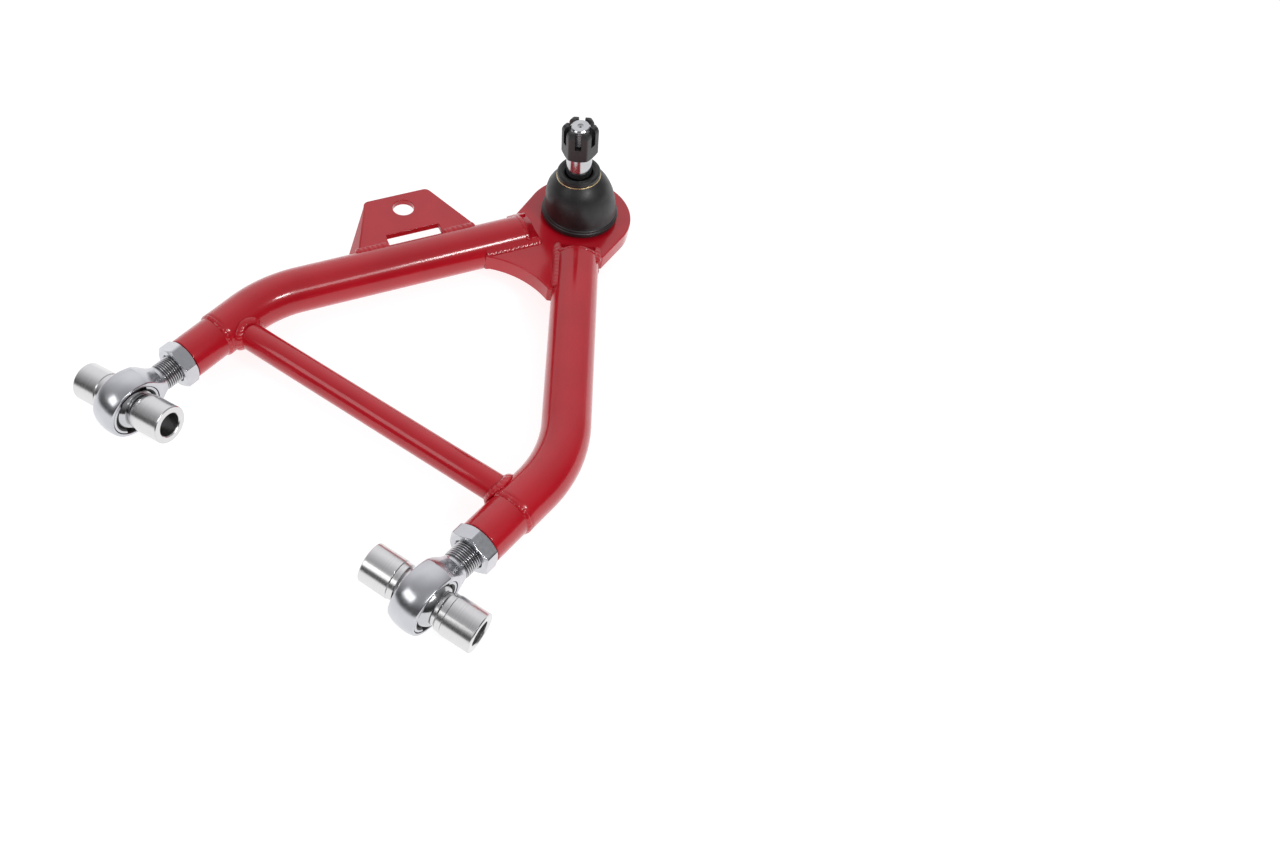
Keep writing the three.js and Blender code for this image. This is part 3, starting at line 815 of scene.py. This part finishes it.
def swivel_ball(letter):
    edge = math.asin(BALL_HALF / BALL_R)
    sphere = arc(BALL_R, 0, -edge, edge, 30)
    first = (*sphere[0], 0.12)
    last = (*sphere[-1], 0.12)
    outline = [(BALL_BORE_R, -BALL_HALF, 0.3), first, *sphere[1:-1], last, (BALL_BORE_R, BALL_HALF, 0.3)]
    piece(
        f"swivel_ball_{letter}_ground", revolve(rounded(outline)), bore_place(letter) @ ALONG_Y,
        f"swivel_{letter}", GROUND, [f"swivel_ball_{letter}"],
    )


def spacer(letter, end):
    """A stepped spacer. Its own Z axis points out of the ball."""
    collar_r = 10.9
    shoulder = 11.4
    barrel_r = SPACER_R - 0.55
    outline = [
        (SPACER_BORE_R, 0.4), (SPACER_SLEEVE_R, 0.4), (SPACER_SLEEVE_R, shoulder), (collar_r, shoulder, 0.15),
        (collar_r, 13.6, 0.2), (barrel_r, 14.8, 0.3), (barrel_r, 18.4, 0.1), (SPACER_R, 18.9, 0.2),
        (SPACER_R, 38, 0.25), (barrel_r, SPACER_END, 0.25), (8.65, SPACER_END, 0.15),
        (SPACER_BORE_R, 37.9, 0.15),
    ]
    face = ALONG_Y if end == "rear" else ALONG_Y @ turned(math.pi, "X")
    piece(
        f"spacer_{letter}_{end}_turned", revolve(rounded(outline), 112), bore_place(letter) @ face,
        f"pivot_{letter}", ALUMINIUM, [f"spacer_{letter}_{end}"],
    )


# degrees from a nut's corner, closest together where the corner is rounded
CORNER_SAMPLES = [0, 0.5, 1.1, 1.8, 2.8, 4.2, 6.5, 9.5, 13, 17, 21, 25.5]
CORNER_BLUNT = 0.22
CORNER_BLEND = 0.5
CHAMFER_SLOPE = 0.577  # a nut's corners are turned off at 30 degrees


def hex_nut(flats, height, bore_r, seat_r, face_r, top):
    """A hexagon nut from Z = 0, chamfered to face_r below. top(outer) gives its upper corner points."""
    bore_lead = 0.9
    samples = CORNER_SAMPLES + [30] + [60 - offset for offset in CORNER_SAMPLES[:0:-1]]
    apothem = flats / 2
    corner = flats / math.sqrt(3)
    rings = []
    for sector in range(6):
        for offset in samples:
            angle = math.radians(60 * sector + offset)
            plain = apothem / math.cos(math.radians(offset - 30))
            outer = float(smooth_min(plain, corner - CORNER_BLUNT, CORNER_BLEND))
            low = (outer - face_r) * CHAMFER_SLOPE
            outline = [
                (bore_r, bore_lead), (seat_r, 0, 0.1), (face_r, 0, 0.25), (outer, low, 0.35),
                *top(outer), (bore_r + 0.8, height, 0.1), (bore_r, height - bore_lead),
            ]
            c, s = math.cos(angle), math.sin(angle)
            rings.append([(r * c, r * s, h) for r, h in rounded(outline)])
    return loops(rings, row_loop=True)


def jam_nut(letter):
    bore_r = 9.7
    seat_r = 10.7
    face_r = 13.9

    def top(outer):
        return (outer, NUT_THICK - (outer - face_r) * CHAMFER_SLOPE, 0.35), (face_r, NUT_THICK, 0.3)

    mesh = hex_nut(NUT_FLATS, NUT_THICK, bore_r, seat_r, face_r, top)
    place = shank_place(letter) @ moved(ADAPTER_FACE - NUT_GAP - NUT_THICK, 0, 0) @ ALONG_X
    body = f"jam_nut_{letter}"
    piece(f"{body}_plated", mesh, place, body, ZINC, [body])


def adapter(letter):
    mouth_r = 10.6
    spigot_r = 12.4
    tail = 97.5
    outline = [
        (mouth_r, ADAPTER_FACE, 0.2), (ADAPTER_R - 0.1, ADAPTER_FACE, 0.9), (ADAPTER_R, ADAPTER_FACE + 5),
        (ADAPTER_R, ADAPTER_WELD), (spigot_r, ADAPTER_WELD), (spigot_r, tail, 0.4), (TAPPED_R, tail, 0.2),
        (TAPPED_R, ADAPTER_FACE + 0.8, 0.2),
    ]
    place = shank_place(letter)
    coated(f"adapter_{letter}_coated", revolve(rounded(outline)), place @ ALONG_X, [f"adapter_{letter}"])
    path = ring_path(15.25, ADAPTER_WELD - 0.9)
    ring = bead(path, width=3.4, height=0.5, seed={"a": 11, "b": 12}[letter], loop=True)
    coated(f"adapter_{letter}_weld", ring, place, weighted=False)


# ---- tubes ----
def leg_path(letter):
    """Stations of (point, heading) along a leg: straight, bend, straight."""
    lap = 0.5
    straight_steps = 6
    bend_steps = 30
    outer_steps = 10
    first = PIVOTS[letter]["heading"]
    last = LEG_ENDS[letter]["heading"]
    setting_out = Vector((math.cos(first), math.sin(first)))
    arriving = Vector((math.cos(last), math.sin(last)))
    start = Vector(PIVOTS[letter]["at"]) + setting_out * (ADAPTER_WELD - lap)
    finish = Vector(LEG_ENDS[letter]["at"])
    corner = start + setting_out * (finish - start).cross(arriving) / setting_out.cross(arriving)
    turn = last - first
    tangent = BEND_R * math.tan(abs(turn) / 2)
    bend_start = corner - setting_out * tangent
    bend_end = corner + arriving * tangent
    side = math.copysign(1, turn)
    centre = bend_start + Vector((-setting_out.y, setting_out.x)) * BEND_R * side
    stations = [(start.lerp(bend_start, i / straight_steps), first) for i in range(straight_steps)]
    for i in range(bend_steps + 1):
        heading = first + turn * i / bend_steps
        out = Vector((math.sin(heading), -math.cos(heading))) * BEND_R * side
        stations.append((centre + out, heading))
    stations += [(bend_end.lerp(finish, i / outer_steps), last) for i in range(1, outer_steps + 1)]
    return stations


def leg_tube(letter, sides=80):
    """A leg, hollow from its start to part of the way round its bend, where the rod end runs in."""
    hollow_stations = 18
    stations = leg_path(letter)
    at, heading = stations[-1]
    ahead = Vector((math.cos(heading), math.sin(heading)))
    rounding = [(0.3, 0.12), (0.9, 0.5), (1.2, 1.2), (1.3, 6.0), (1.3, 14.0)]
    sections = [(point, angle, TUBE_WALL) for point, angle in reversed(stations[:hollow_stations])]
    sections += [(point, angle, 0.0) for point, angle in stations]
    sections += [(at + ahead * reach, heading, inset) for reach, inset in rounding]
    rings = []
    for point, angle, inset in sections:
        left = Vector((-math.sin(angle), math.cos(angle), 0))
        outward = [left * across + Vector((0, 0, up)) for across, up in circle_points(1, sides)]
        rings.append([point.to_3d() + out * (TUBE_R - inset) for out in outward])
    coated(f"leg_tube_{letter}_coated", loops(rings, caps=True), PLANE, [f"leg_tube_{letter}"])


def saddle_path(letter, steps=96):
    """Where the brace's surface meets a leg's straight part, with the crown between the two surfaces."""
    stand_off = 2.1
    heading = PIVOTS[letter]["heading"]
    origin = Vector((*PIVOTS[letter]["at"], 0))
    left = Vector((-math.sin(heading), math.cos(heading), 0))
    start = BRACE_FOOT.to_3d()
    run = (BRACE_HEAD - BRACE_FOOT).normalized().to_3d()
    side = Vector((run.y, -run.x, 0))
    towards = 1 if letter == "a" else -1
    path = []
    for across, up in circle_points(1, steps):
        out = side * across + Vector((0, 0, up))
        base = start + out * BRACE_R
        lateral = towards * math.sqrt(TUBE_R**2 - base.z**2)
        reach = (lateral - (base - origin).dot(left)) / run.dot(left)
        normal = (left * lateral + Vector((0, 0, base.z))).normalized()
        crown = (out + normal).normalized()
        path.append((base + run * reach + crown * stand_off, crown))
    return path


def cross_brace(sides=64):
    run = BRACE_HEAD - BRACE_FOOT
    length = run.length
    inset = 3
    outline = [
        (0, inset), (BRACE_R, inset), (BRACE_R, 40), (BRACE_R, length - 40), (BRACE_R, length - inset),
        (0, length - inset),
    ]
    place = ARM @ moved(*BRACE_FOOT, PLANE_Z) @ turned(math.atan2(run.y, run.x), "Z") @ ALONG_X
    coated("cross_brace_coated", revolve(outline, sides), place, ["cross_brace"])
    for letter, seed in (("a", 21), ("b", 22)):
        ring = bead(saddle_path(letter), width=5.6, height=0.75, seed=seed, loop=True, sunk=2)
        coated(f"brace_weld_{letter}", ring, PLANE, weighted=False)


# ---- ball joint plate ----
def plate_outline():
    """The eye's round, and the arc between the legs, joined by short straights."""
    points = []
    steps = 72
    for i in range(steps + 1):
        angle = -math.pi / 2 + math.pi * i / steps
        points.append(EYE + Vector((math.cos(angle), math.sin(angle))) * EYE_R)
    points += [Vector((287, 121.5)), Vector((278.6, 122.3)), Vector((256.4, 138.2))]
    steps = 36
    half = math.asin(26 / WEB_ARC_R)
    for i in range(steps + 1):
        angle = half - 2 * half * i / steps
        points.append(WEB_ARC + Vector((math.cos(angle), math.sin(angle))) * WEB_ARC_R)
    points += [Vector((253, 38.9)), Vector((284.9, 55.6)), Vector((289, 48.6))]
    return points


def ball_joint_plate():
    eye_bore = circle_points(EYE_BORE_R, 96, EYE)
    mesh = sheet_metal(plate_outline(), [eye_bore], PLATE_T, 0.9)
    coated("ball_joint_plate_coated", mesh, PLANE, ["ball_joint_plate"])


def contact_half():
    """Half the width of a leg where it meets the plate's face."""
    return math.sqrt(TUBE_R**2 - (PLATE_T / 2) ** 2)


def end_fillet(up, seed):
    """The weld that closes a leg's end down to the plate, in the leg end's frame.

    up is 1 above the plate and -1 below it.
    """
    draw = random.Random(seed)
    across_steps = 84
    down_steps = 22
    crest = 0.25
    heel = 2.0
    toe_reach = 9.5
    toe_wave = 0.15
    toe_grain = 0.02
    foot_spread = 3.2
    foot_sink = 0.15
    sag = 1.15
    rippled = 0.42  # the share of the way down that has scales
    bow = 1.6
    root_z = 2
    half = contact_half()
    rings = []
    for i in range(across_steps + 1):
        u = -1 + 2 * i / across_steps
        y_top = u * half
        z_top = math.sqrt(max(TUBE_R**2 - y_top**2, 0.0)) + crest
        round_leg = math.asin(max(-1, min(1, y_top / TUBE_R))) * TUBE_R
        toe = toe_reach + toe_wave * math.sin(round_leg / 2 + seed) + draw.uniform(-toe_grain, toe_grain)
        y_foot = u * (half + foot_spread)
        z_foot = PLATE_T / 2 - foot_sink
        ring = []
        for j in range(down_steps + 1):
            v = j / down_steps
            fall = (1 - v) ** sag
            z = z_top * fall + z_foot * (1 - fall)
            if v < rippled:
                swell = math.sin(math.pi * v / rippled)
                z += (0.35 + 0.75 * scallop((round_leg + bow * swell) / RIPPLE_PITCH)) * swell
            ring.append(((toe + heel) * v - heel, y_top * (1 - v) + y_foot * v, up * z))
        ring += [(toe, y_foot, up * root_z), (-heel, y_top, up * root_z)]
        rings.append(ring)
    return loops(rings, caps=True)


def plate_welds(letter):
    """Fillet welds along both sides of a leg's end, above and below the plate."""
    inner = 1 if letter == "a" else -1
    beads_y = contact_half() - 0.05
    beads_z = 8.1
    parts = []
    for up in (1, -1):
        parts.append(end_fillet(up, 31 + up + (5 if letter == "b" else 0)))
        for side, start, end in ((inner, -33.0, 8.5), (-inner, -6.0, 7.5)):
            crown = Vector((0, side * 0.57, up * 0.82))
            path = [(Vector((x, side * beads_y, up * beads_z)), crown) for x in (start, start / 2, 0, end)]
            seed = 41 + 7 * up + side + (3 if letter == "b" else 0)
            parts.append(bead(path, width=6.8, height=0.68, seed=seed, sunk=4.5, taper=6))
    coated(f"leg_{letter}_plate_weld", together(*parts), leg_end_place(letter), weighted=False)


# ---- link bracket ----
def bracket_outline():
    foot_v = 6
    head_v = 57.5
    corners = [
        (34, foot_v), (NOTCH_START, foot_v), (NOTCH_START, NOTCH_EDGE, 1.4), (NOTCH_END, NOTCH_EDGE, 1.4),
        (NOTCH_END, foot_v), (126.8, foot_v), (104, head_v, 5.5), (55.5, head_v, 5.0),
    ]
    return rounded(corners, 8)


def folded_flange(edge):
    """The flange that hangs from the fold on the bracket's left, and its place in the bracket's frame."""
    fold_start = Vector((51.6, 48, BRACKET_TOP))
    fold_end = Vector((34, 6, BRACKET_TOP))
    length = 47
    fold = (fold_end - fold_start).normalized()
    across = Vector((fold.y, -fold.x, 0))
    down = across * math.cos(FLANGE_SLOPE) - Vector((0, 0, math.sin(FLANGE_SLOPE)))
    basis = Matrix((fold, -down, fold.cross(-down))).transposed().to_4x4()
    basis.translation = fold_start
    corners = [(-6, 1.2), (-6, 0), (length, -FLANGE_FLARE * length), (length, 1.2)]
    return sheet_metal(corners, [], BRACKET_T, edge), basis @ Matrix.Translation((0, 0, -BRACKET_T / 2))


def bracket_bead(start, end, v, z, crown, seed, steps, width, sunk):
    """A bead along the leg, beside the bracket's foot."""
    path = [(Vector((start + (end - start) * i / steps, v, z)), Vector(crown)) for i in range(steps + 1)]
    return bead(path, width, 2.0, seed, sunk=sunk)


def link_bracket():
    edge = 0.55
    hole_u, hole_v, hole_r = LINK_HOLE
    plate = sheet_metal(bracket_outline(), [circle_points(hole_r, 64, (hole_u, hole_v))], BRACKET_T, edge)
    plate_at = Matrix.Translation((0, 0, BRACKET_TOP - BRACKET_T / 2))
    coated("link_bracket_coated", together((plate, plate_at), folded_flange(edge)), BRACKET, ["link_bracket"])
    low_face = BRACKET_TOP - BRACKET_T
    leg_side = math.sqrt(TUBE_R**2 - low_face**2)
    welds = []
    for start, end, seed in ((35, 59, 51), (101, 124, 52)):
        welds.append(bracket_bead(start, end, 10.7, BRACKET_TOP - 0.2, (0, 0.1, 1), seed, 6, 8.6, sunk=2))
    for start, end, seed in ((39, 59, 53), (101, 122, 54)):
        welds.append(bracket_bead(start, end, leg_side, low_face, (0, 0.8, -0.6), seed, 2, 6, sunk=1.5))
    coated("link_bracket_weld", together(*welds), BRACKET, weighted=False)


# ---- ball joint ----
def ball_joint_housing():
    """The pressed-in shell, its liner and the cover below the ball."""
    low = PLANE_Z - PLATE_T / 2
    top = PLANE_Z + PLATE_T / 2
    shell = [
        (15.2, 0, 0.2), (20.4, 0, 0.5), (21.4, 1.2, 0.5), (21.4, low - 1, 0.2), (22, low - 0.4, 0.2),
        (22, top + 0.3), (24.6, top + 0.3, 0.3), (24.6, top + 1.6, 0.5), (21.2, top + 1.6, 0.5),
        (20.6, top + 5.2, 0.5), (15.2, top + 5.2, 0.3), (14.3, top + 3, 0.5), (14.3, top - 0.2, 0.3),
        (16.8, top - 2.2), (16.8, 4.4), (17.9, 4.1), (17.9, 1, 0.2), (15.2, 0.9, 0.2),
    ]
    socket = arc(STUD_BALL_R + 0.45, PIVOT_Z, math.radians(-62), math.radians(27), 20)
    liner = [*socket, (12.8, 26), (16.5, 26), (16.5, 4.8), (6.4, 4.8)]
    cover = [
        (0, 1.9), (4, 1.8, 0.5), (7, 1.3, 0.8), (17.5, 1.3, 0.2), (17.5, 3.4), (9, 3.4), (7, 3.9), (0, 3.9),
    ]
    for name, finish, outline, material, slot in (
        ("ball_joint_housing", "turned", rounded(shell), BLACK, BLACK_SLOT),
        ("ball_joint_bearing", "moulded", liner, POLYMER, "bearing_polymer"),
        ("ball_joint_cover", "pressed", rounded(cover), BLACK, BLACK_SLOT),
    ):
        piece(f"{name}_{finish}", revolve(outline), JOINT, "arm", material, [name])


def leaned(mesh):
    """Leans the boot's mesh with the stud, easing in from where it is fixed to where it is carried."""
    pivot = Matrix.Translation((0, 0, PIVOT_Z))
    matrix = pivot @ Matrix.Rotation(LEAN, 4, LEAN_AXIS) @ pivot.inverted()
    for v in mesh.verts:
        t = min(max((v.co.z - BOOT_FIXED_Z) / (BOOT_CARRIED_Z - BOOT_FIXED_Z), 0.0), 1.0)
        share = t * t * (3 - 2 * t)
        v.co = v.co.lerp(matrix @ v.co, share)
    return mesh


def boot():
    outside = [
        (26.3, 30.4, 0.3), (27.3, 31.2, 0.4), (27.3, 33.9, 0.5), (26.5, 34.6, 0.25), (26.5, 35.7, 0.25),
        (25.9, 36.2, 0.25), (25.4, 38.2, 0.6), (25.1, 41), (24.9, 44), (24.5, 47.4), (23.9, 50.8),
        (22.9, 54.4), (21.7, 57.6), (20.2, 60.3), (18.5, 62.5), (16.6, 64.6), (14.9, 66.1, 0.4),
        (14.1, 66.9, 0.3), (14.1, 67.9, 0.3), (15.2, 68.3, 0.35), (15.1, 70.4, 0.5), (14.2, 71.8, 0.5),
    ]
    inside = [
        (12.2, 71.8, 0.5), (9.9, 70.2, 0.5), (9.9, 67.4, 0.3), (16.2, 61), (19.8, 55.6), (22, 49.4),
        (22.4, 38), (22.4, 30.4),
    ]
    mesh = leaned(revolve(rounded(outside + inside), 128))
    name = "ball_joint_boot_moulded"
    made = piece(name, mesh, JOINT, None, RUBBER, ["ball_joint_boot"], weighted=False)
    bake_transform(made)


def wire_ring():
    mesh = revolve(circle_points(WIRE_R, 16, (WIRE_RING_R, WIRE_RING_Z)), 120)
    piece("boot_wire_ring_bright", mesh, STUD, "ball_stud", GOLD, ["boot_wire_ring"])


def stud():
    ball = arc(STUD_BALL_R, PIVOT_Z, math.radians(-54), math.radians(50), 24)
    body = [
        (0, 6.5), *ball, (7.9, 29.4), (7.9, 36, 2), (9.2, 52, 2), (9.2, 68, 1), (8.7, 86.6, 0.4), (7.2, 87.6),
        (6.4, 87.7), (6.4, 90), (0, 90),
    ]
    thread = threaded_rod(STUD_THREAD_R, STUD_PITCH, 87.5, STUD_TOP - 1.3, STUD_TOP - 1.2, lead=0.8)
    tip = [
        (0, STUD_TOP - 2.5), (6.25, STUD_TOP - 2.5), (6.9, STUD_TOP - 1.4), (6.75, STUD_TOP - 1, 0.2),
        (5.9, STUD_TOP, 0.35), (2.2, STUD_TOP, 0.15), (0, STUD_TOP - 1.9),
    ]
    solid = together(revolve(rounded(body)), revolve(rounded(tip), 64))
    piece("ball_stud_ground", solid, STUD, "ball_stud", GROUND, ["ball_stud"])
    piece("ball_stud_thread", thread, STUD, "ball_stud", STUD_STEEL, weighted=False)


def castle_nut():
    height = CASTLE_TOP - CASTLE_BASE

    def top(outer):
        return (outer, height - 3.2, 2), (outer - 0.8, height - 1, 1.3), (outer - 2.4, height, 0.8)

    mesh = hex_nut(CASTLE_FLATS, height, STUD_THREAD_R + 0.2, CASTLE_SEAT_R, 10.7, top)
    place = STUD @ moved(0, 0, CASTLE_BASE) @ turned(CASTLE_TURN, "Z")
    nut = piece("castle_nut_black", mesh, place, "castle_nut", BLACK, ["castle_nut"])
    over = 2
    tools = []
    for turn in (30, 90, 150):
        slot = box_mesh((60, SLOT_W, SLOT_DEPTH + over), (0, 0, height - SLOT_DEPTH / 2 + over / 2))
        slot.transform(turned(math.radians(turn), "Z"))
        tools.append(slot)
    carve(nut, BLACK, *tools)
    edges = nut.modifiers.new("edges", "BEVEL")
    edges.width = 0.35 * MM
    edges.segments = 3
    edges.limit_method = "ANGLE"
    edges.angle_limit = math.radians(50)
    nut.modifiers.move(len(nut.modifiers) - 1, 0)


# ---- the object ----
for letter in PIVOTS:
    rod_end_body(letter)
    rod_end_race(letter)
    swivel_ball(letter)
    for end in ("front", "rear"):
        spacer(letter, end)
    jam_nut(letter)
    adapter(letter)
    leg_tube(letter)
    plate_welds(letter)
cross_brace()
ball_joint_plate()
link_bracket()
ball_joint_housing()
boot()
stud()
castle_nut()
wire_ring()


# ---- studio ----
def floor():
    below = 0.0003
    mesh = bmesh.new()
    bmesh.ops.create_grid(mesh, x_segments=1, y_segments=1, size=6)
    made = add_object("floor", mesh_data("floor", mesh))
    made.data.materials.append(pale_floor())
    made.location.z = -below


def area_light(name, towards, distance, width, height, power):
    """A softbox that shines at the middle of the object from a direction."""
    data = bpy.data.lights.new(name, "AREA")
    data.shape = "RECTANGLE"
    data.size = width
    data.size_y = height
    data.energy = power
    made = add_object(name, data)
    made.location = Vector(towards).normalized() * distance
    made.rotation_euler = (-Vector(towards)).to_track_quat("-Z", "Y").to_euler()


def glow(tree, direction, towards, stops):
    """World light by how far a direction points towards another one, from -1 away to 1 towards."""
    cool = 1.02
    dot = tree.nodes.new("ShaderNodeVectorMath")
    dot.operation = "DOT_PRODUCT"
    dot.inputs[1].default_value = towards
    tree.links.new(direction, dot.inputs[0])
    span = tree.nodes.new("ShaderNodeMapRange")
    span.inputs["From Min"].default_value = -1
    tree.links.new(dot.outputs["Value"], span.inputs["Value"])
    ramp = tree.nodes.new("ShaderNodeValToRGB")
    elements = ramp.color_ramp.elements
    while len(elements) < len(stops):
        elements.new(0.5)
    for element, (position, level) in zip(elements, stops):
        element.position = (position + 1) / 2
        element.color = (level, level, level * cool, 1)
    tree.links.new(span.outputs["Result"], ramp.inputs["Fac"])
    return ramp.outputs["Color"]


def studio():
    """A dark room with a white sweep behind the object and a dim ceiling. The camera sees plain white."""
    world = bpy.data.worlds.new("studio")
    world.use_nodes = True
    tree = world.node_tree
    direction = tree.nodes.new("ShaderNodeTexCoord").outputs["Generated"]
    sweep = ((-1, 0.02), (0.0, 0.04), (0.4, 0.34), (0.65, 0.64), (0.95, 0.95))
    ceiling = ((-1, 0.0), (0.3, 0.03), (0.7, 0.3), (1, 0.42))
    total = tree.nodes.new("ShaderNodeVectorMath")
    tree.links.new(glow(tree, direction, (0.805, 0.593, 0), sweep), total.inputs[0])
    tree.links.new(glow(tree, direction, (0, 0, 1), ceiling), total.inputs[1])
    seen = tree.nodes.new("ShaderNodeMix")
    seen.data_type = "RGBA"
    sockets = {socket.identifier: socket for socket in (*seen.inputs, *seen.outputs)}
    sockets["B_Color"].default_value = (0.97, 0.97, 0.97, 1)
    tree.links.new(total.outputs["Vector"], sockets["A_Color"])
    camera_ray = tree.nodes.new("ShaderNodeLightPath").outputs["Is Camera Ray"]
    tree.links.new(camera_ray, sockets["Factor_Float"])
    tree.links.new(sockets["Result_Color"], tree.nodes["Background"].inputs["Color"])
    bpy.context.scene.world = world
    area_light("key", (-0.1, -0.71, 0.7), distance=1.5, width=0.26, height=0.15, power=4.4)
    area_light("key_tail", (-0.38, -0.62, 0.7), distance=1.5, width=0.6, height=0.3, power=2.2)
    area_light("left", (-0.69, 0.36, 0.63), distance=1.8, width=0.8, height=0.7, power=3.6)
    bpy.context.scene.view_settings.view_transform = "Standard"


def camera():
    data = bpy.data.cameras.new("camera")
    data.sensor_width = 36
    data.lens = 33.1875
    data.shift_x = 0.2018
    data.shift_y = -0.0533
    right = Vector((0.59287, -0.80529, 0))
    up = Vector((0.62921, 0.46324, 0.62410))
    back = Vector((-0.50258, -0.37001, 0.78135))
    basis = Matrix((right, up, back)).transposed().to_4x4()
    basis.translation = (Vector((-268.01, -167.16, 635.72)) + Vector(SHIFT)) * MM
    made = add_object("camera", data)
    made.matrix_world = basis
    bpy.context.scene.camera = made


floor()
studio()
camera()

bpy.context.view_layer.update()
